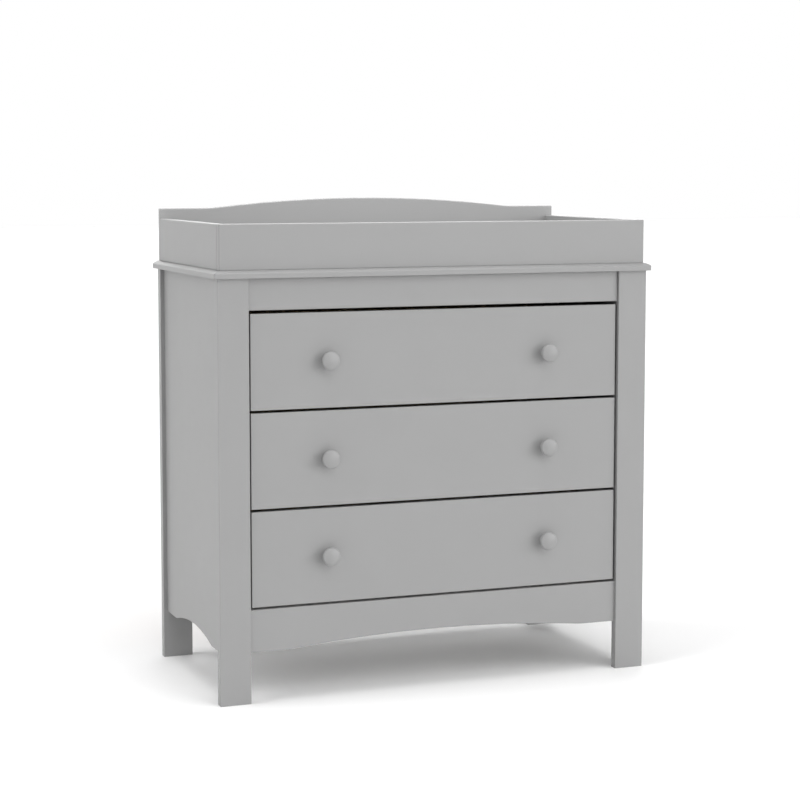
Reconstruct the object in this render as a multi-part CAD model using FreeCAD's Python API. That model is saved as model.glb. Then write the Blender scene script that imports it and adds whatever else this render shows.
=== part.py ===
import FreeCAD, Part
import math
import os

# Changing table: a painted chest of three drawers with a changing tray screwed on top.
# Millimetres. +X is the user's right, +Y the back, +Z up. The origin is on the floor,
# midway across the width and midway between the knobs and the plates on the back.

os.makedirs("parts", exist_ok=True)
Vector = FreeCAD.Vector

# ---- carcass ----
body_width = 880.0          # over the outer edges of the legs
body_depth = 436.0          # front face of the front legs to back face of the rear legs
leg_height = 798.0          # floor to the underside of the top
leg_width = 60.0
leg_thick = 18.0
leg_arris_radius = 1.0      # eased edges of the legs
rail_arris_radius = 2.0     # front edges of the front top rail
panel_arris_radius = 1.0    # long front edges of the apron, outer edges of the side panels
front_recess = 6.0          # rail, drawer fronts and apron behind the legs' front face
rail_height = 60.0          # front and rear top rails
rail_thick = 16.0
side_recess = 8.0           # side panels behind the legs' outer edges
side_thick = 15.0
side_bottom = 95.0          # floor to the side panels' straight lower edge
post_depth = 70.0           # corner posts behind the legs, which carry the runners
post_bottom_inset = 5.0     # posts stop this far above the side panels' lower edge
apron_bottom = 96.0
apron_top = 177.0
stretcher_depth = 80.0      # flat board behind the apron, between the front posts
stretcher_thick = 15.0
stretcher_drop = 12.0       # below the apron's upper edge
rear_rail_height = 60.0     # bottom rear rail
back_thick = 3.2            # hardboard back, let into a rebate
rebate_width = 8.0
rebate_play = 0.5

# ---- arched and crowned edges ----
apron_arch_half = 305.0
apron_arch_rise = 16.5
apron_arch_blend = 200.0
side_arch_half = 130.0
side_arch_rise = 17.0
side_arch_blend = 30.0
crown_half = 328.0
crown_rise = 19.5
crown_blend = 330.0

# ---- top panel ----
top_thick = 15.0
top_overhang = 8.0
top_band = 9.0              # upright part of the moulded edge
bevel_width = 11.5          # sloping part of the moulded edge, seen from above
bevel_crown = 0.9           # how far the slope bulges
top_corner_radius = 3.0

# ---- changing tray ----
tray_width = 871.0
tray_front_recess = 3.0     # behind the legs' front face
tray_thick = 15.0
tray_height = 85.0          # front and sides, above the top panel
tray_back_height = 105.4    # ends of the back board
tray_edge_radius = 2.2
tray_foot_radius = 1.0      # lower edges, where the boards stand on the top
plate_thick = 1.5           # steel plates that hold the tray to the chest's back edge
plate_width = 20.0
plate_reach = 30.0          # height on the tray's back board
plate_spacing = 520.0
plate_foot_rise = 1.0       # plate's lower edge above the underside of the top
plate_screw_shares = (0.35, 0.75)  # of the reach, on the tray's back board

# ---- drawers ----
drawer_names = ("bottom", "middle", "top")
gap_below = 4.6             # bottom drawer front to apron
gap_between = 5.2
gap_above = 6.2             # top drawer front to rail
gap_side = 4.2              # drawer front to leg
front_thick = 16.0
front_edge_radius = 0.6
box_lift = 16.0             # drawer sides above the front's lower edge
box_height = 140.0
box_rear_gap = 26.0         # drawer box to the rear legs
box_thick = 12.0
bottom_thick = 3.2
bottom_lift = 10.0          # groove above the drawer side's lower edge
groove_depth = 5.0
groove_play = 0.2
back_screw_shares = (0.3, 0.75)  # screws of the box's back, of its height

# ---- knobs ----
knob_spacing = 450.0
knob_length = 26.0
knob_radius = 17.6
knob_neck_radius = 8.5
knob_foot_radius = 11.0
knob_rim = 19.0             # widest ring, in front of the drawer's face
knob_head_back = 4.5        # widest ring to the back of the head
knob_face_start = 3.6       # widest ring to the edge of the domed face
knob_face_margin = 2.6      # edge of the domed face inside the widest ring
knob_back_margin = 0.9      # back corner of the head inside the widest ring
knob_back_rise = 1.6        # back corner of the head in front of its back
knob_waist_flare = 1.6      # widening of the neck where it meets the head
knob_under_bulge = 1.2      # hollow under the head, outwards
knob_waist_share = 0.42     # places along the neck, of its length
knob_flare_share = 0.82
knob_under_share = 0.98

# ---- roller runners ----
runner_gap = 12.7           # carcass post to drawer side
runner_rear_gap = 44.0      # runner's rear end to the rear legs
runner_setback = 2.0        # behind the back of the drawer front
sheet = 1.2                 # runner sheet steel
channel_height = 28.0
lip_width = 10.4
drawer_travel = 260.0
roller_width = 8.0
roller_edge_radius = 0.8
case_roller_radius = 11.0
case_roller_inset = 14.0
roller_play = 0.3           # roller to the track it runs on
axle_radius = 3.0
axle_play = 0.08
axle_head_radius = 4.2
axle_head_height = 0.65
end_play = 0.15             # roller to the head that keeps it on
web_clearance = 1.2         # roller to the web of its own runner
flange_lift = 2.0           # drawer runner's flange above the case runner
flange_end_gap = 0.8        # drawer runner's flange to the case runner's web
stop_tab_depth = 3.0
case_screw_front = 40.0     # from the runner's front end
case_screw_rear = 16.0      # from its rear end
flange_screw_front = 32.0
flange_screw_rear = 48.0

# ---- fasteners ----
channel_screw = {"shank": 1.9, "length": 15.0, "head": 3.6, "height": sheet, "sunk": True}
flange_screw = {"shank": 1.9, "length": 9.0, "head": 3.6, "height": 1.2, "sunk": False}
bracket_screw = {"shank": 1.9, "length": 11.0, "head": 3.4, "height": 1.4, "sunk": False}
post_screw = {"shank": 2.2, "length": 45.0, "head": 4.4, "height": 2.6, "sunk": True}
box_screw = {"shank": 1.8, "length": 32.0, "head": 3.6, "height": 2.2, "sunk": True}
plate_screw = {"shank": 1.6, "length": 14.0, "head": 3.2, "height": 1.3, "sunk": True}
knob_screw = {"shank": 2.0, "length": 28.0, "head": 4.2, "height": 2.6, "sunk": False}
back_pin = {"shank": 0.8, "length": 16.0, "head": 2.0, "height": 0.6, "sunk": False}
knob_hole_play = 0.25
tip_length = 3.0
tip_share = 0.25            # radius of the blunt tip, of the shank's
recess_width = 0.9          # cross recess: width of its bars
recess_reach_share = 0.55   # of the head's radius
recess_depth_share = 0.7    # of the head's height
pin_pitch = 150.0
bracket_size = 24.0
bracket_width = 18.0
bracket_thick = 2.0
bracket_spacing = 420.0
post_screw_share = 0.6      # of the drawer box's height, above its lower edge
strap_hole_radius = 2.5     # for the strap that ties the chest to a wall
strap_hole_spacing = 64.0
strap_hole_drop = 24.0      # below the underside of the top
bracket_screw_share = 0.6   # of the bracket's size, from its corner
touch = 0.01                # tolerance for picking edges by their bounding boxes

# ---- positions that follow ----
knob_tip = front_recess - knob_length
rear_tip = body_depth + top_overhang + plate_thick
front_y = -(knob_tip + rear_tip) / 2
leg_back_y = front_y + leg_thick
rear_leg_y = front_y + body_depth - leg_thick
back_y = front_y + body_depth
tail_y = back_y + top_overhang
face_y = front_y + front_recess
rail_back_y = face_y + rail_thick
box_y = face_y + front_thick
half_width = body_width / 2
opening_half = half_width - leg_width
side_outer = half_width - side_recess
side_inner = side_outer - side_thick
rail_bottom = leg_height - rail_height
top_z = leg_height + top_thick
gaps = gap_below + gap_above + gap_between * (len(drawer_names) - 1)
front_height = (rail_bottom - apron_top - gaps) / len(drawer_names)
front_half = opening_half - gap_side
box_half = opening_half - runner_gap
runner_y = box_y + runner_setback
runner_end = rear_leg_y - runner_rear_gap
box_back = rear_leg_y - box_rear_gap
drawer_roller_radius = (channel_height - 2 * sheet) / 2 - roller_play

parts = {}


# ---- shape helpers ----
def block(x, y, z):
    """A box between two values on each axis."""
    return Part.makeBox(x[1] - x[0], y[1] - y[0], z[1] - z[0], Vector(x[0], y[0], z[0]))


def mirrored(shape):
    """The same piece on the other side of the chest."""
    return shape.mirror(Vector(0, 0, 0), Vector(1, 0, 0))


def joined(pieces):
    """Several touching shapes made into one solid."""
    return pieces[0].multiFuse(pieces[1:]).removeSplitter().Solids[0]


def eased(shape, radius, wanted):
    """Round the edges whose bounding box the test accepts."""
    return shape.makeFillet(radius, [e for e in shape.Edges if wanted(e.BoundBox)])


def upright(box):
    return box.XLength < touch and box.YLength < touch


def add_pair(name, right):
    """A right-hand piece and its mirror image, each in its own node."""
    parts[name + "_right"] = [right]
    parts[name + "_left"] = [mirrored(right)]


def cut(name, tool):
    parts[name] = [solid.cut(tool) for solid in parts[name]]


def arched_line(reach, level, half, rise, blend, place):
    """A straight edge with a shallow arc raised in its middle, and the blends between."""
    radius = (half * half + rise * rise) / (2 * rise)
    centre = level + rise - radius
    joint = math.sqrt((radius + blend) ** 2 - (level + blend - centre) ** 2)
    share = radius / (radius + blend)
    arc_x = joint * share
    arc_z = centre + (level + blend - centre) * share
    tilt = math.atan2(joint, level + blend - centre) / 2
    mid_x = joint - blend * math.sin(tilt)
    mid_z = level + blend - blend * math.cos(tilt)

    def arc(*points):
        return Part.Arc(*[place(*p) for p in points]).toShape()

    return [
        Part.makeLine(place(-reach, level), place(-joint, level)),
        arc((-joint, level), (-mid_x, mid_z), (-arc_x, arc_z)),
        arc((-arc_x, arc_z), (0, level + rise), (arc_x, arc_z)),
        arc((arc_x, arc_z), (mid_x, mid_z), (joint, level)),
        Part.makeLine(place(joint, level), place(reach, level)),
    ]


def arched_board(reach, level, straight, arch, place, thickness):
    """A board with one arched edge at level and a straight edge opposite."""
    edges = arched_line(reach, level, *arch, place)
    edges.append(Part.makeLine(place(reach, level), place(reach, straight)))
    edges.append(Part.makeLine(place(reach, straight), place(-reach, straight)))
    edges.append(Part.makeLine(place(-reach, straight), place(-reach, level)))
    return Part.Face(Part.Wire(edges)).extrude(thickness)


# ---- fasteners ----
def fastener_blank(kind):
    """A screw or pin pointing along +Z with its head's seat at the origin, no drive recess."""
    straight = kind["length"] - tip_length
    shank = Part.makeCylinder(kind["shank"], straight)
    tip = Part.makeCone(kind["shank"], kind["shank"] * tip_share, tip_length, Vector(0, 0, straight))
    if kind["sunk"]:
        head = Part.makeCone(kind["head"], kind["shank"], kind["height"])
    else:
        head = Part.makeCylinder(kind["head"], kind["height"], Vector(0, 0, -kind["height"]))
    return joined([shank, tip, head])


def cross_recess(kind):
    """The cross in a screw's head, as a cutting tool."""
    reach = kind["head"] * recess_reach_share
    depth = kind["height"] * recess_depth_share
    start = 0 if kind["sunk"] else -kind["height"]
    bars = []
    for x, y in ((reach, recess_width / 2), (recess_width / 2, reach)):
        bars.append(block((-x, x), (-y, y), (start, start + depth)))
    return joined(bars)


def placed(shape, seat, direction):
    turned = shape.copy()
    turned.Placement = FreeCAD.Placement(seat, FreeCAD.Rotation(Vector(0, 0, 1), direction))
    return turned


def drive(kind, seat, direction, group, boards, crossed=True):
    """Put a fastener in its group's node and cut its hole in each board that it enters."""
    blank = fastener_blank(kind)
    finished = blank.cut(cross_recess(kind)) if crossed else blank
    parts.setdefault(group, []).append(placed(finished, seat, direction).Solids[0])
    for board in boards:
        cut(board, placed(blank, seat, direction))


# ---- carcass ----
def make_legs():
    front = block((opening_half, half_width), (front_y, leg_back_y), (0, leg_height))
    rear = block((opening_half, half_width), (rear_leg_y, back_y), (0, leg_height))

    def all_but_foot(box):
        return box.ZMax > touch

    add_pair("front_leg", eased(front, leg_arris_radius, all_but_foot))
    add_pair("rear_leg", eased(rear, leg_arris_radius, all_but_foot))


def make_side_panels():
    middle = (leg_back_y + rear_leg_y) / 2
    reach = (rear_leg_y - leg_back_y) / 2
    arch = (side_arch_half, side_arch_rise, side_arch_blend)

    def place(along, height):
        return Vector(side_inner, middle + along, height)

    def outer_edge(box):
        return box.XMin > side_outer - touch

    panel = arched_board(reach, side_bottom, leg_height, arch, place, Vector(side_thick, 0, 0))
    add_pair("side_panel", eased(panel, panel_arris_radius, outer_edge))


def make_corner_posts():
    bottom = side_bottom + post_bottom_inset
    x = (opening_half, side_inner)
    front = block(x, (leg_back_y, leg_back_y + post_depth), (bottom, leg_height))
    rear = block(x, (rear_leg_y - post_depth, rear_leg_y), (bottom, leg_height))
    add_pair("front_post", front)
    add_pair("rear_post", rear)


def make_rails():
    across = (-opening_half, opening_half)
    front_rail = block(across, (face_y, rail_back_y), (rail_bottom, leg_height))
    rear_rail = block(across, (rear_leg_y, back_y), (rail_bottom, leg_height))
    low_rail = block(across, (rear_leg_y, back_y), (side_bottom, side_bottom + rear_rail_height))
    arch = (apron_arch_half, apron_arch_rise, apron_arch_blend)

    def place(along, height):
        return Vector(along, face_y, height)

    apron = arched_board(
        opening_half, apron_bottom, apron_top, arch, place, Vector(0, rail_thick, 0)
    )

    def front_edge(box):
        return box.YMax < face_y + touch

    def long_front_edge(box):
        return front_edge(box) and not upright(box)

    parts["front_top_rail"] = [eased(front_rail, rail_arris_radius, front_edge)]
    parts["rear_top_rail"] = [rear_rail]
    parts["rear_bottom_rail"] = [low_rail]
    parts["front_apron"] = [eased(apron, panel_arris_radius, long_front_edge)]
    level = apron_top - stretcher_drop
    parts["front_stretcher"] = [block(
        across, (rail_back_y, rail_back_y + stretcher_depth), (level - stretcher_thick, level)
    )]
    for side in (-1, 1):
        hole_at = Vector(side * strap_hole_spacing / 2, back_y, leg_height - strap_hole_drop)
        cut(
            "rear_top_rail",
            Part.makeCylinder(strap_hole_radius, leg_thick, hole_at, Vector(0, -1, 0)),
        )


def make_back():
    """The hardboard back, its rebate in the frame around it, and the pins that hold it."""
    half = opening_half + rebate_width
    low = side_bottom + rear_rail_height - rebate_width
    high = rail_bottom + rebate_width
    y = (back_y - back_thick, back_y)
    rebate = block(
        (-half - rebate_play, half + rebate_play), y, (low - rebate_play, high + rebate_play)
    )
    frame = ("rear_leg_left", "rear_leg_right", "rear_top_rail", "rear_bottom_rail")
    for name in frame:
        cut(name, rebate)
    parts["back_panel"] = [block((-half, half), y, (low, high))]

    inset = rebate_width / 2
    across = 2 * (half - inset)
    upward = high - low - 2 * inset
    columns = round(across / pin_pitch)
    rows = round(upward / pin_pitch)
    for i in range(1, columns):
        x = -half + inset + across * i / columns
        for z, board in ((low + inset, "rear_bottom_rail"), (high - inset, "rear_top_rail")):
            drive(
                back_pin, Vector(x, back_y, z), Vector(0, -1, 0), "case_fasteners",
                ("back_panel", board), crossed=False,
            )
    for i in range(1, rows):
        z = low + inset + upward * i / rows
        for side, board in ((-1, "rear_leg_left"), (1, "rear_leg_right")):
            drive(
                back_pin, Vector(side * (half - inset), back_y, z), Vector(0, -1, 0),
                "case_fasteners", ("back_panel", board), crossed=False,
            )


def moulded_section(half, flat_back, place):
    """The top panel's cross-section: moulded at +half, and at the other end too or square."""
    flat_end = half - bevel_width
    band_z = leg_height + top_band
    chord_x = (half + flat_end) / 2
    chord_z = (band_z + top_z) / 2
    chord = math.hypot(bevel_width, top_thick - top_band)
    bulge_x = chord_x + bevel_crown * (top_thick - top_band) / chord
    bulge_z = chord_z + bevel_crown * bevel_width / chord

    def slope(sign):
        points = ((sign * half, band_z), (sign * bulge_x, bulge_z), (sign * flat_end, top_z))
        return Part.Arc(*[place(*p) for p in points]).toShape()

    def line(start, end):
        return Part.makeLine(place(*start), place(*end))

    far = flat_back if flat_back is not None else -flat_end
    edges = [
        line((half, leg_height), (half, band_z)),
        slope(1),
        line((flat_end, top_z), (far, top_z)),
    ]
    if flat_back is None:
        edges.append(slope(-1))
        edges.append(line((-half, band_z), (-half, leg_height)))
        edges.append(line((-half, leg_height), (half, leg_height)))
    else:
        edges.append(line((flat_back, top_z), (flat_back, leg_height)))
        edges.append(line((flat_back, leg_height), (half, leg_height)))
    return Part.Face(Part.Wire(edges))


def make_top():
    """Two moulded bars crossed, so that the moulding is mitred at the front corners."""
    half = half_width + top_overhang
    depth_half = (tail_y - (front_y - top_overhang)) / 2
    middle = tail_y - depth_half

    def across(x, z):
        return Vector(x, middle - depth_half, z)

    def along(forward, z):
        return Vector(-half, middle - forward, z)

    long_bar = moulded_section(half, None, across).extrude(Vector(0, 2 * depth_half, 0))
    deep_bar = moulded_section(depth_half, -depth_half, along).extrude(Vector(2 * half, 0, 0))
    plan = block(
        (-half, half), (middle - depth_half, middle + depth_half), (leg_height, top_z)
    )

    def front_corner(box):
        return upright(box) and box.YMin < middle

    plan = eased(plan, top_corner_radius, front_corner)
    parts["top_panel"] = [long_bar.common(deep_bar).common(plan).Solids[0]]


def make_tray():
    half = tray_width / 2
    front_face = front_y + tray_front_recess
    inner_front = front_face + tray_thick
    inner_back = tail_y - tray_thick
    top_edge = top_z + tray_height

    def not_underside(box):
        return box.ZMax > top_z + touch

    def underside(box):
        return box.ZMax < top_z + touch

    def side_top_edge(box):
        return box.YLength > touch and box.ZMin > top_z + touch

    def side_foot_edge(box):
        return box.YLength > touch and underside(box)

    front = block((-half, half), (front_face, inner_front), (top_z, top_edge))
    side = block((half - tray_thick, half), (inner_front, inner_back), (top_z, top_edge))

    def place(along, height):
        return Vector(along, inner_back, height)

    crown = (crown_half, crown_rise, crown_blend)
    back = arched_board(
        half, top_z + tray_back_height, top_z, crown, place, Vector(0, tray_thick, 0)
    )
    for name, board in (("tray_front", front), ("tray_back", back)):
        rounded = eased(board, tray_edge_radius, not_underside)
        parts[name] = [eased(rounded, tray_foot_radius, underside)]
    side = eased(side, tray_edge_radius, side_top_edge)
    add_pair("tray_side", eased(side, tray_foot_radius, side_foot_edge))


def make_tray_plates():
    """Flat steel plates across the joint of the tray's back board and the top's rear edge."""
    upper_screws = [top_z + plate_reach * share for share in plate_screw_shares]
    lower_screw = leg_height + top_thick / 2
    for side in (-1, 1):
        x = side * plate_spacing / 2
        plate = block(
            (x - plate_width / 2, x + plate_width / 2),
            (tail_y, tail_y + plate_thick),
            (leg_height + plate_foot_rise, top_z + plate_reach),
        )
        parts.setdefault("tray_plates", []).append(plate)
    for side in (-1, 1):
        x = side * plate_spacing / 2
        places = [(z, "tray_back") for z in upper_screws] + [(lower_screw, "top_panel")]
        for z, board in places:
            seat = Vector(x, tail_y + plate_thick, z)
            boards = ("tray_plates", board)
            drive(plate_screw, seat, Vector(0, -1, 0), "case_fasteners", boards)


def make_top_brackets():
    """Steel angle brackets between the rails and the underside of the top."""
    places = (
        (rail_back_y, 1, "front_top_rail"),
        (rear_leg_y, -1, "rear_top_rail"),
    )
    arm = bracket_size * bracket_screw_share
    for wall_y, inward, rail in places:
        for side in (-1, 1):
            x = side * bracket_spacing / 2
            across = (x - bracket_width / 2, x + bracket_width / 2)
            out = sorted((wall_y, wall_y + inward * bracket_size))
            thin = sorted((wall_y, wall_y + inward * bracket_thick))
            flange = block(across, out, (leg_height - bracket_thick, leg_height))
            wall = block(across, thin, (leg_height - bracket_size, leg_height))
            parts.setdefault("top_brackets", []).append(joined([flange, wall]))
    for wall_y, inward, rail in places:
        for side in (-1, 1):
            x = side * bracket_spacing / 2
            wall_seat = Vector(x, wall_y + inward * bracket_thick, leg_height - arm)
            top_seat = Vector(x, wall_y + inward * arm, leg_height - bracket_thick)
            for seat, direction, board in (
                (wall_seat, Vector(0, -inward, 0), rail),
                (top_seat, Vector(0, 0, 1), "top_panel"),
            ):
                drive(bracket_screw, seat, direction, "case_fasteners", ("top_brackets", board))


# ---- runners ----
def axle(start_x, inward, y, z):
    """A riveted stub axle along X with the head that keeps its roller on."""
    reach = web_clearance + roller_width + end_play
    direction = Vector(inward, 0, 0)
    shaft = Part.makeCylinder(axle_radius, reach, Vector(start_x, y, z), direction)
    head_at = Vector(start_x + inward * reach, y, z)
    return [shaft, Part.makeCylinder(axle_head_radius, axle_head_height, head_at, direction)]


def roller(radius, start_x, inward, y, z):
    at = Vector(start_x + inward * web_clearance, y, z)
    direction = Vector(inward, 0, 0)
    wheel = Part.makeCylinder(radius, roller_width, at, direction)
    wheel = wheel.makeFillet(roller_edge_radius, wheel.Edges)
    return wheel.cut(Part.makeCylinder(axle_radius + axle_play, roller_width, at, direction))


def make_runners(name, side_z):
    """Both runner pairs of one drawer whose sides stand at side_z, with their rollers."""
    low = side_z - sheet
    high = low + channel_height
    wall = opening_half
    web = (wall - sheet, wall)
    lips = (wall - lip_width, wall)
    whole = (runner_y, runner_end)
    open_front = 2 * case_roller_inset
    flange_z = high + flange_lift + roller_play
    case_axle_y = runner_y + case_roller_inset
    case_axle_z = flange_z - roller_play - case_roller_radius
    drawer_axle_y = runner_end - sheet - roller_play - drawer_roller_radius
    drawer_axle_z = (low + high) / 2

    # a tab bent down from the upper lip stops the drawer's roller at full travel
    tab_rise = channel_height / 2 - sheet - stop_tab_depth
    tab_half = math.sqrt(drawer_roller_radius ** 2 - tab_rise ** 2)
    tab_y = drawer_axle_y - drawer_travel - tab_half - roller_play
    case_pieces = [
        block(web, whole, (low, high)),
        block(lips, whole, (low, low + sheet)),
        block(lips, (runner_y + open_front, runner_end), (high - sheet, high)),
        block(lips, (runner_end - sheet, runner_end), (low, high)),
        block(
            (lips[0] + sheet, wall), (tab_y - sheet, tab_y), (high - sheet - stop_tab_depth, high)
        ),
    ]
    case_pieces += axle(web[0], -1, case_axle_y, case_axle_z)
    case_runner = joined(case_pieces)
    case_roller = roller(case_roller_radius, web[0], -1, case_axle_y, case_axle_z)

    drawer_web = (box_half, box_half + sheet)
    drawer_pieces = [
        block(drawer_web, whole, (low, flange_z + sheet)),
        block((box_half - box_thick, drawer_web[1]), whole, (low, low + sheet)),
        block((box_half, web[0] - flange_end_gap), whole, (flange_z, flange_z + sheet)),
    ]
    drawer_pieces += axle(drawer_web[1], 1, drawer_axle_y, drawer_axle_z)
    drawer_runner = joined(drawer_pieces)
    drawer_roller = roller(
        drawer_roller_radius, drawer_web[1], 1, drawer_axle_y, drawer_axle_z
    )

    for node, piece in (
        (f"case_runners_{name}", case_runner),
        (f"case_rollers_{name}", case_roller),
        (f"drawer_{name}_runners", drawer_runner),
        (f"drawer_{name}_rollers", drawer_roller),
    ):
        parts[node] = [mirrored(piece), piece]

    for side, hand in ((-1, "left"), (1, "right")):
        for y, post in (
            (runner_y + case_screw_front, "front_post_"),
            (runner_end - case_screw_rear, "rear_post_"),
        ):
            seat = Vector(side * web[0], y, (low + high) / 2)
            boards = (f"case_runners_{name}", post + hand)
            drive(channel_screw, seat, Vector(side, 0, 0), "case_fasteners", boards)
        for y in (runner_y + flange_screw_front, runner_end - flange_screw_rear):
            seat = Vector(side * (box_half - box_thick / 2), y, low)
            boards = (f"drawer_{name}_runners", f"drawer_{name}_side_{hand}")
            drive(flange_screw, seat, Vector(0, 0, 1), f"drawer_{name}_screws", boards)


# ---- drawers ----
def make_knob(x, z):
    """A turned knob: a foot, a waist, a rounded rim and a shallow domed face."""
    neck = knob_rim - knob_head_back
    flare = Vector(knob_neck_radius + knob_waist_flare, -neck * knob_flare_share, 0)
    under_x = (knob_neck_radius + knob_radius) / 2 + knob_under_bulge
    corner = Vector(knob_radius - knob_back_margin, -neck - knob_back_rise, 0)
    dome_edge = knob_radius - knob_face_margin
    dome_start = knob_rim + knob_face_start
    dome_height = knob_length - dome_start
    dome_radius = (dome_edge ** 2 + dome_height ** 2) / (2 * dome_height)
    dome_middle = dome_edge / 2
    dome_drop = dome_radius - math.sqrt(dome_radius ** 2 - dome_middle ** 2)
    profile = [
        Part.makeLine(Vector(0, 0, 0), Vector(knob_foot_radius, 0, 0)),
        Part.Arc(
            Vector(knob_foot_radius, 0, 0),
            Vector(knob_neck_radius, -neck * knob_waist_share, 0),
            flare,
        ).toShape(),
        Part.Arc(flare, Vector(under_x, -neck * knob_under_share, 0), corner).toShape(),
        Part.Arc(
            corner, Vector(knob_radius, -knob_rim, 0), Vector(dome_edge, -dome_start, 0)
        ).toShape(),
        Part.Arc(
            Vector(dome_edge, -dome_start, 0),
            Vector(dome_middle, dome_drop - knob_length, 0),
            Vector(0, -knob_length, 0),
        ).toShape(),
        Part.makeLine(Vector(0, -knob_length, 0), Vector(0, 0, 0)),
    ]
    turned = Part.Face(Part.Wire(profile)).revolve(Vector(0, 0, 0), Vector(0, 1, 0), 360)
    turned.translate(Vector(x, face_y, z))
    return turned


def make_drawer(index, name):
    front_z = apron_top + gap_below + index * (front_height + gap_between)
    side_z = front_z + box_lift
    high = side_z + box_height
    base = side_z + bottom_lift
    head = f"drawer_{name}_"

    front = block((-front_half, front_half), (face_y, box_y), (front_z, front_z + front_height))
    front = eased(front, front_edge_radius, lambda box: box.YMax < face_y + touch)
    side = block((box_half - box_thick, box_half), (box_y, box_back), (side_z, high))
    inner = box_half - box_thick
    back = block(
        (-inner, inner), (box_back - box_thick, box_back), (base + bottom_thick + groove_play, high)
    )
    reach = inner + groove_depth - groove_play
    panel = block(
        (-reach, reach), (box_y - groove_depth + groove_play, box_back), (base, base + bottom_thick)
    )
    groove = block(
        (-inner - groove_depth, inner + groove_depth),
        (box_y - groove_depth, box_back),
        (base, base + bottom_thick + groove_play),
    )
    parts[head + "front"] = [front.cut(groove)]
    add_pair(head + "side", side.cut(groove))
    parts[head + "back"] = [back]
    parts[head + "bottom"] = [panel]

    knob_z = front_z + front_height / 2
    for side_sign, hand in ((-1, "left"), (1, "right")):
        x = side_sign * knob_spacing / 2
        parts[head + "knob_" + hand] = [make_knob(x, knob_z)]
        clearance = Part.makeCylinder(
            knob_screw["shank"] + knob_hole_play, front_thick, Vector(x, face_y, knob_z),
            Vector(0, 1, 0),
        )
        cut(head + "front", clearance)
        drive(
            knob_screw, Vector(x, box_y, knob_z), Vector(0, -1, 0), head + "screws",
            (head + "knob_" + hand,),
        )
        for lift in back_screw_shares:
            seat = Vector(side_sign * box_half, box_back - box_thick / 2, side_z + box_height * lift)
            boards = (head + "side_" + hand, head + "back")
            drive(box_screw, seat, Vector(-side_sign, 0, 0), head + "screws", boards)
    make_runners(name, side_z)
    return side_z


def make_post_screws(heights):
    """Screws through the corner posts into the side panels, clear of the runners."""
    for side, hand in ((-1, "left"), (1, "right")):
        for y, post in (
            (leg_back_y + post_depth / 2, "front_post_"),
            (rear_leg_y - post_depth / 2, "rear_post_"),
        ):
            for z in heights:
                seat = Vector(side * opening_half, y, z)
                boards = (post + hand, "side_panel_" + hand)
                drive(post_screw, seat, Vector(side, 0, 0), "case_fasteners", boards)


make_legs()
make_side_panels()
make_corner_posts()
make_rails()
make_back()
make_top()
make_tray()
make_tray_plates()
make_top_brackets()
side_heights = [make_drawer(index, name) for index, name in enumerate(drawer_names)]
make_post_screws([z + box_height * post_screw_share for z in side_heights])

for name, solids in parts.items():
    shape = solids[0] if len(solids) == 1 else Part.makeCompound(solids)
    shape.exportStep(f"parts/{name}.step")
print(f"{len(parts)} nodes, drawer front {front_height:.2f} mm high")
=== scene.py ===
import math

import bpy
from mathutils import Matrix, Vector


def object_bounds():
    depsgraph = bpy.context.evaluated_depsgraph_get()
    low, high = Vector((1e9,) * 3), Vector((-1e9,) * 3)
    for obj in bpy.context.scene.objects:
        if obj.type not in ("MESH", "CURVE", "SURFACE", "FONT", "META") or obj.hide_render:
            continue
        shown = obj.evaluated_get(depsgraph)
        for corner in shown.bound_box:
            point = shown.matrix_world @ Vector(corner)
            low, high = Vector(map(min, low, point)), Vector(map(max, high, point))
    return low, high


# A painted three-drawer changing table: lacquered boards, plywood drawer boxes, coated steel
# runners with nylon rollers, zinc-plated fasteners and a hardboard back.

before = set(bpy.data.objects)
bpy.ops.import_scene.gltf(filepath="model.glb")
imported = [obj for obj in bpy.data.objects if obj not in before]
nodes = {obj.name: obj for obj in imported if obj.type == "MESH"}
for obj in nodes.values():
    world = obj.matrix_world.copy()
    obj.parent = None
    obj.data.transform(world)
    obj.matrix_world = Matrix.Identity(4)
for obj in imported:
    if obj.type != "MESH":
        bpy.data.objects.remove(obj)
cad_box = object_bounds()
MM = 0.001

# ---- camera: metres and degrees ----
CAMERA_PLACE = (-1.4583, -3.7916, 1.0016)
CAMERA_TURN = 21.03             # from straight ahead towards +X
CAMERA_DROP = 5.537             # below the horizon
SENSOR_WIDTH = 36.0
LENS_LENGTH = 91.438
FRAME_SHIFT = -0.045            # lowers the view a little, as a share of the frame's width

# ---- studio: metres, apart from the walls ----
FLOOR_REACH = 30.0
WALLS_FULL = 0.15               # full white up to this sine of the angle above the horizon
WALLS_END = 0.5                 # and faded out at this one
HIGH_SOFTBOX_RISE = 0.81        # above the crown of the tray's back board
TRAY_SOFTBOX_RISE = 0.46


def rgb(hex_code):
    """An sRGB hex colour as the linear colour that a shader takes."""
    parts = [int(hex_code[i:i + 2], 16) / 255 for i in (1, 3, 5)]
    linear = [c / 12.92 if c <= 0.04045 else ((c + 0.055) / 1.055) ** 2.4 for c in parts]
    return (*linear, 1.0)


def repeats(size):
    """A pattern's scale: how many features of this size in millimetres lie along a metre."""
    return 1000 / size


def add_node(owner, kind, settings=None, links=None):
    """Add a node, with its attributes, socket values or colour stops, and its inputs linked.

    A link's source is an output socket, or a node, which stands for its first output.
    """
    tree = owner.node_tree
    node = tree.nodes.new(kind)
    for name, value in (settings or {}).items():
        if name == "stops":
            elements = node.color_ramp.elements
            while len(elements) < len(value):
                elements.new(0.5)
            for element, (position, colour) in zip(elements, value):
                element.position = position
                element.color = rgb(colour)
        elif isinstance(name, str) and hasattr(node, name):
            setattr(node, name, value)
        else:
            node.inputs[name].default_value = value
    for name, source in (links or {}).items():
        output = source.outputs[0] if isinstance(source, bpy.types.Node) else source
        tree.links.new(output, node.inputs[name])
    return node


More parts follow.
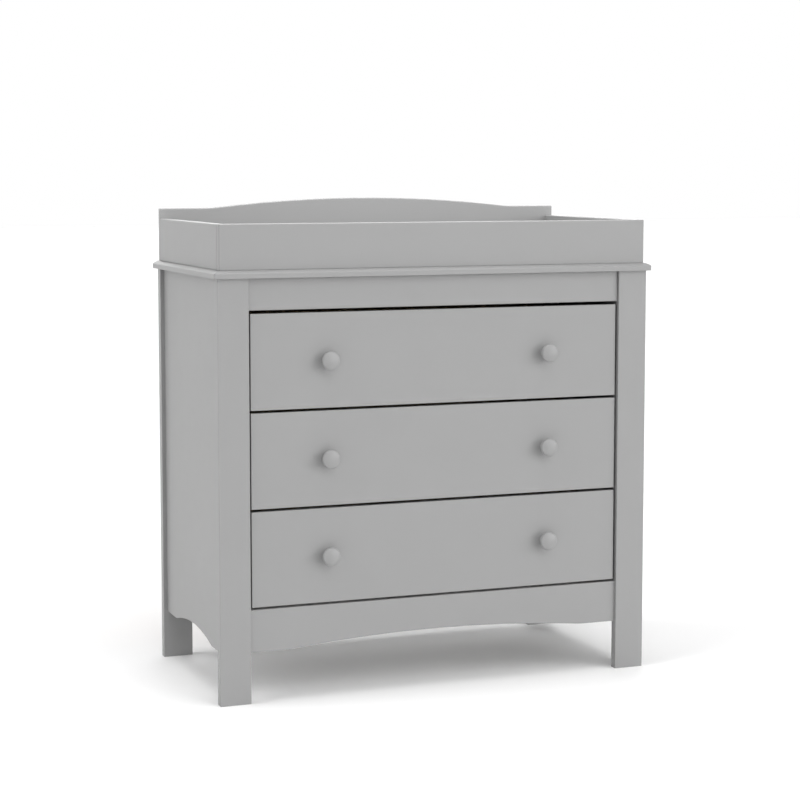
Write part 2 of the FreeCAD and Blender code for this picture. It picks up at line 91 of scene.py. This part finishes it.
def new_material(name):
    """An empty material, and the place on the piece, in metres, that its patterns follow."""
    material = bpy.data.materials.new(name)
    material.use_nodes = True
    material.node_tree.nodes.clear()
    return material, add_node(material, "ShaderNodeTexCoord").outputs["Object"]


# ---- materials ----
def sprayed_lacquer():
    """Satin lacquer sprayed on fine board: an even grey, a soft sheen and faint orange peel."""
    material, where = new_material("sprayed_satin_lacquer")
    coat = add_node(
        material, "ShaderNodeTexNoise", {"Scale": repeats(90), "Detail": 2.0}, {"Vector": where}
    )
    # two greys almost alike, because a sprayed coat is nearly the same all over
    grey = add_node(
        material, "ShaderNodeValToRGB", {"stops": [(0.3, "#8b8b8b"), (0.7, "#8c8c8c")]},
        {"Fac": coat},
    )
    drift = add_node(
        material, "ShaderNodeTexNoise", {"Scale": repeats(35), "Detail": 3.0}, {"Vector": where}
    )
    sheen = add_node(
        material, "ShaderNodeMapRange", {"To Min": 0.42, "To Max": 0.46}, {"Value": drift}
    )
    peel = add_node(
        material, "ShaderNodeTexNoise", {"Scale": repeats(4), "Detail": 1.0}, {"Vector": where}
    )
    relief = add_node(material, "ShaderNodeBump", {"Distance": 0.012 * MM}, {"Height": peel})
    shader = add_node(
        material, "ShaderNodeBsdfPrincipled", {"IOR": 1.5},
        {"Base Color": grey, "Roughness": sheen, "Normal": relief},
    )
    add_node(material, "ShaderNodeOutputMaterial", links={"Surface": shader})
    return material


def birch_plywood(name, grain, face):
    """Sanded, sealed birch plywood: pale, with long grain on its faces and plies on its edges.

    The grain runs along axis number grain, and the board's thickness lies along axis face.
    """
    material, where = new_material(name)
    fibre_width = 5
    fibre_length = 14 * fibre_width
    scale = tuple(repeats(fibre_length if axis == grain else fibre_width) for axis in range(3))
    drawn_out = add_node(material, "ShaderNodeMapping", {"Scale": scale}, {"Vector": where})
    figure = add_node(
        material, "ShaderNodeTexNoise", {"Scale": 1.0, "Detail": 6.0}, {"Vector": drawn_out}
    )
    veneer = add_node(
        material, "ShaderNodeValToRGB",
        {"stops": [(0.25, "#d9bd92"), (0.5, "#e4cca4"), (0.8, "#ecd8b5")]}, {"Fac": figure},
    )

    # pale and dark plies by turns through the thickness
    ply = 1.5 * MM
    place = add_node(material, "ShaderNodeSeparateXYZ", links={"Vector": where})
    depth = add_node(
        material, "ShaderNodeMath", {"operation": "PINGPONG", 1: ply}, {0: place.outputs[face]}
    )
    layer = add_node(
        material, "ShaderNodeMath", {"operation": "GREATER_THAN", 1: ply / 2}, {0: depth}
    )
    plies = add_node(
        material, "ShaderNodeValToRGB", {"stops": [(0.0, "#e0c69b"), (1.0, "#b98f5e")]},
        {"Fac": layer},
    )

    # veneer on the broad faces, plies on the edges
    normal = add_node(material, "ShaderNodeTexCoord").outputs["Normal"]
    direction = add_node(material, "ShaderNodeSeparateXYZ", links={"Vector": normal})
    straight = add_node(
        material, "ShaderNodeMath", {"operation": "ABSOLUTE"}, {0: direction.outputs[face]}
    )
    on_face = add_node(
        material, "ShaderNodeMapRange", {"From Min": 0.4, "From Max": 0.6}, {"Value": straight}
    )
    wood = add_node(
        material, "ShaderNodeMix", {"data_type": "RGBA"},
        {"Factor": on_face, "A": plies, "B": veneer},
    )
    seal = add_node(
        material, "ShaderNodeMapRange", {"To Min": 0.42, "To Max": 0.56}, {"Value": figure}
    )
    relief = add_node(material, "ShaderNodeBump", {"Distance": 0.06 * MM}, {"Height": figure})
    shader = add_node(
        material, "ShaderNodeBsdfPrincipled", {"IOR": 1.5},
        {"Base Color": wood.outputs["Result"], "Roughness": seal, "Normal": relief},
    )
    add_node(material, "ShaderNodeOutputMaterial", links={"Surface": shader})
    return material


def foil_faced_board():
    """Thin hardboard under light grey foil: smooth, nearly even, with a faint print grain."""
    material, where = new_material("foil_faced_hardboard")
    scale = (repeats(48), repeats(3), repeats(3))
    drawn_out = add_node(material, "ShaderNodeMapping", {"Scale": scale}, {"Vector": where})
    figure = add_node(
        material, "ShaderNodeTexNoise", {"Scale": 1.0, "Detail": 4.0}, {"Vector": drawn_out}
    )
    grey = add_node(
        material, "ShaderNodeValToRGB", {"stops": [(0.3, "#bdbdbc"), (0.7, "#c2c2c1")]},
        {"Fac": figure},
    )
    sheen = add_node(
        material, "ShaderNodeMapRange", {"To Min": 0.36, "To Max": 0.44}, {"Value": figure}
    )
    shader = add_node(
        material, "ShaderNodeBsdfPrincipled", {"IOR": 1.5},
        {"Base Color": grey, "Roughness": sheen},
    )
    add_node(material, "ShaderNodeOutputMaterial", links={"Surface": shader})
    return material


def pressed_hardboard():
    """Pressed hardboard: short brown fibres under a burnished face that shines in patches."""
    material, where = new_material("pressed_hardboard")
    fibre = add_node(
        material, "ShaderNodeTexNoise", {"Scale": repeats(1.6), "Detail": 6.0}, {"Vector": where}
    )
    brown = add_node(
        material, "ShaderNodeValToRGB",
        {"stops": [(0.3, "#6b4c36"), (0.5, "#7a5940"), (0.72, "#8a684e")]}, {"Fac": fibre},
    )
    patch = add_node(
        material, "ShaderNodeTexNoise", {"Scale": repeats(60), "Detail": 3.0}, {"Vector": where}
    )
    polish = add_node(
        material, "ShaderNodeMapRange", {"To Min": 0.38, "To Max": 0.55}, {"Value": patch}
    )
    relief = add_node(material, "ShaderNodeBump", {"Distance": 0.05 * MM}, {"Height": fibre})
    shader = add_node(
        material, "ShaderNodeBsdfPrincipled", {"IOR": 1.5},
        {"Base Color": brown, "Roughness": polish, "Normal": relief},
    )
    add_node(material, "ShaderNodeOutputMaterial", links={"Surface": shader})
    return material


def epoxy_coated_steel():
    """Epoxy powder baked on pressed sheet steel: warm white, glossy, slightly pebbled."""
    material, where = new_material("epoxy_coated_steel")
    pebble = add_node(
        material, "ShaderNodeTexNoise", {"Scale": repeats(1.8), "Detail": 2.0}, {"Vector": where}
    )
    white = add_node(
        material, "ShaderNodeValToRGB", {"stops": [(0.3, "#dcdad3"), (0.7, "#e4e2dc")]},
        {"Fac": pebble},
    )
    gloss = add_node(
        material, "ShaderNodeMapRange", {"To Min": 0.30, "To Max": 0.40}, {"Value": pebble}
    )
    relief = add_node(material, "ShaderNodeBump", {"Distance": 0.04 * MM}, {"Height": pebble})
    shader = add_node(
        material, "ShaderNodeBsdfPrincipled", {"IOR": 1.5},
        {"Base Color": white, "Roughness": gloss, "Normal": relief},
    )
    add_node(material, "ShaderNodeOutputMaterial", links={"Surface": shader})
    return material


def moulded_nylon():
    """Moulded nylon: milky white, faintly see-through at its edges, dulled where it rolls."""
    material, where = new_material("moulded_nylon")
    wear = add_node(
        material, "ShaderNodeTexNoise", {"Scale": repeats(3), "Detail": 3.0}, {"Vector": where}
    )
    white = add_node(
        material, "ShaderNodeValToRGB", {"stops": [(0.3, "#dddbd2"), (0.7, "#e8e6de")]},
        {"Fac": wear},
    )
    dullness = add_node(
        material, "ShaderNodeMapRange", {"To Min": 0.35, "To Max": 0.5}, {"Value": wear}
    )
    shader = add_node(
        material, "ShaderNodeBsdfPrincipled",
        {"IOR": 1.53, "Subsurface Weight": 0.25, "Subsurface Scale": 1.5 * MM},
        {"Base Color": white, "Roughness": dullness},
    )
    add_node(material, "ShaderNodeOutputMaterial", links={"Surface": shader})
    return material


def zinc_plated_steel():
    """Bright zinc plate on steel: a bluish metal with fine cloudy patches."""
    material, where = new_material("zinc_plated_steel")
    cloud = add_node(
        material, "ShaderNodeTexNoise", {"Scale": repeats(4), "Detail": 4.0}, {"Vector": where}
    )
    metal = add_node(
        material, "ShaderNodeValToRGB", {"stops": [(0.3, "#b4b8bd"), (0.7, "#cdd0d3")]},
        {"Fac": cloud},
    )
    haze = add_node(
        material, "ShaderNodeMapRange", {"To Min": 0.28, "To Max": 0.42}, {"Value": cloud}
    )
    shader = add_node(
        material, "ShaderNodeBsdfPrincipled", {"Metallic": 1.0},
        {"Base Color": metal, "Roughness": haze},
    )
    add_node(material, "ShaderNodeOutputMaterial", links={"Surface": shader})
    return material


def dress_nodes():
    """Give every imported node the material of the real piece."""
    lacquer = sprayed_lacquer()
    foil = foil_faced_board()
    steel = epoxy_coated_steel()
    nylon = moulded_nylon()
    zinc = zinc_plated_steel()
    hardboard = pressed_hardboard()
    ply_side = birch_plywood("birch_plywood_sides", grain=1, face="X")
    ply_back = birch_plywood("birch_plywood_backs", grain=0, face="Y")
    for name, piece in nodes.items():
        if "roller" in name:
            finish = nylon
        elif "runner" in name:
            finish = steel
        elif "screws" in name or name in ("case_fasteners", "tray_plates", "top_brackets"):
            finish = zinc
        elif name == "back_panel":
            finish = hardboard
        elif name.startswith("drawer") and "_side_" in name:
            finish = ply_side
        elif name.startswith("drawer") and name.endswith("_back"):
            finish = ply_back
        elif name.startswith("drawer") and name.endswith("_bottom"):
            finish = foil
        else:
            finish = lacquer
        piece.data.materials.clear()
        piece.data.materials.append(finish)


# ---- studio ----
def make_floor():
    """A plain floor, pale and matt, that reaches past the horizon of every view."""
    reach = FLOOR_REACH
    corners = [(-reach, -reach, 0), (reach, -reach, 0), (reach, reach, 0), (-reach, reach, 0)]
    mesh = bpy.data.meshes.new("floor")
    mesh.from_pydata(corners, [], [(0, 1, 2, 3)])
    floor = bpy.data.objects.new("floor", mesh)
    bpy.context.scene.collection.objects.link(floor)
    material = new_material("matt_floor")[0]
    shader = add_node(
        material, "ShaderNodeBsdfPrincipled",
        {"Base Color": rgb("#f4f4f4"), "Roughness": 0.9, "Specular IOR Level": 0.0},
    )
    add_node(material, "ShaderNodeOutputMaterial", links={"Surface": shader})
    mesh.materials.append(material)


def far_lamp(name, azimuth, elevation, strength, spread):
    """A broad, far-off light, its angles in degrees.

    Azimuth 0 is in front of the drawers and 90 at their right.
    """
    light = bpy.data.lights.new(name, "SUN")
    light.energy = strength
    light.angle = math.radians(spread)
    lamp = bpy.data.objects.new(name, light)
    turn = math.radians(azimuth)
    rise = math.radians(elevation)
    towards = Vector(
        (math.sin(turn) * math.cos(rise), -math.cos(turn) * math.cos(rise), math.sin(rise))
    )
    lamp.rotation_euler = towards.to_track_quat("Z", "Y").to_euler()
    bpy.context.scene.collection.objects.link(lamp)


def softbox(name, place, width, depth, power):
    """A rectangular softbox that hangs level and shines straight down."""
    light = bpy.data.lights.new(name, "AREA")
    light.shape = "RECTANGLE"
    light.size = width
    light.size_y = depth
    light.energy = power
    lamp = bpy.data.objects.new(name, light)
    lamp.location = place
    bpy.context.scene.collection.objects.link(lamp)


def white_walls():
    """Studio walls: full white near the floor, fading to none higher up."""
    world = bpy.data.worlds.new("white_walls")
    world.use_nodes = True
    world.node_tree.nodes.clear()
    direction = add_node(world, "ShaderNodeTexCoord").outputs["Generated"]
    height = add_node(world, "ShaderNodeSeparateXYZ", links={"Vector": direction}).outputs["Z"]
    fade = add_node(
        world, "ShaderNodeMapRange",
        {
            "interpolation_type": "SMOOTHSTEP", "From Min": WALLS_FULL,
            "From Max": WALLS_END, "To Min": 1.0, "To Max": 0.0,
        },
        {"Value": height},
    )
    walls = add_node(
        world, "ShaderNodeBackground", {"Color": rgb("#ffffff")}, {"Strength": fade}
    )
    add_node(world, "ShaderNodeOutputWorld", links={"Surface": walls})
    bpy.context.scene.world = world


def make_studio():
    """White walls, a pale floor, five broad lamps and two softboxes over the tray."""
    bpy.context.scene.view_settings.view_transform = "Standard"
    white_walls()
    make_floor()

    # the fronts, and the shadow that falls away to the left of each knob
    far_lamp("front_right_low", azimuth=44, elevation=15, strength=1.75, spread=50)
    far_lamp("front_high", azimuth=0, elevation=45, strength=0.95, spread=44)
    # the left side panel and the tray's left side
    far_lamp("left_high", azimuth=270, elevation=40, strength=1.42, spread=44)
    # the floor behind, so that the shadow under the chest comes forward
    far_lamp("back_low", azimuth=162, elevation=18, strength=1.65, spread=60)
    far_lamp("overhead", azimuth=0, elevation=90, strength=1.00, spread=44)

    crown = cad_box[1].z
    # the moulded edge of the top and the upper edges of the tray
    softbox(
        "high_softbox", (0, -0.1, crown + HIGH_SOFTBOX_RISE), width=1.3, depth=0.5, power=7
    )
    # the inner face of the tray's back board
    softbox(
        "tray_softbox", (0.1, 0, crown + TRAY_SOFTBOX_RISE), width=1.0, depth=0.2, power=1.5
    )


def make_camera():
    """A long lens in front of the chest and to its left, a little above the tray."""
    lens = bpy.data.cameras.new("camera")
    lens.sensor_width = SENSOR_WIDTH
    lens.lens = LENS_LENGTH
    lens.shift_y = FRAME_SHIFT
    camera = bpy.data.objects.new("camera", lens)
    camera.location = CAMERA_PLACE
    camera.rotation_euler = (math.radians(90 - CAMERA_DROP), 0, math.radians(-CAMERA_TURN))
    bpy.context.scene.collection.objects.link(camera)
    bpy.context.scene.camera = camera


dress_nodes()
make_studio()
make_camera()
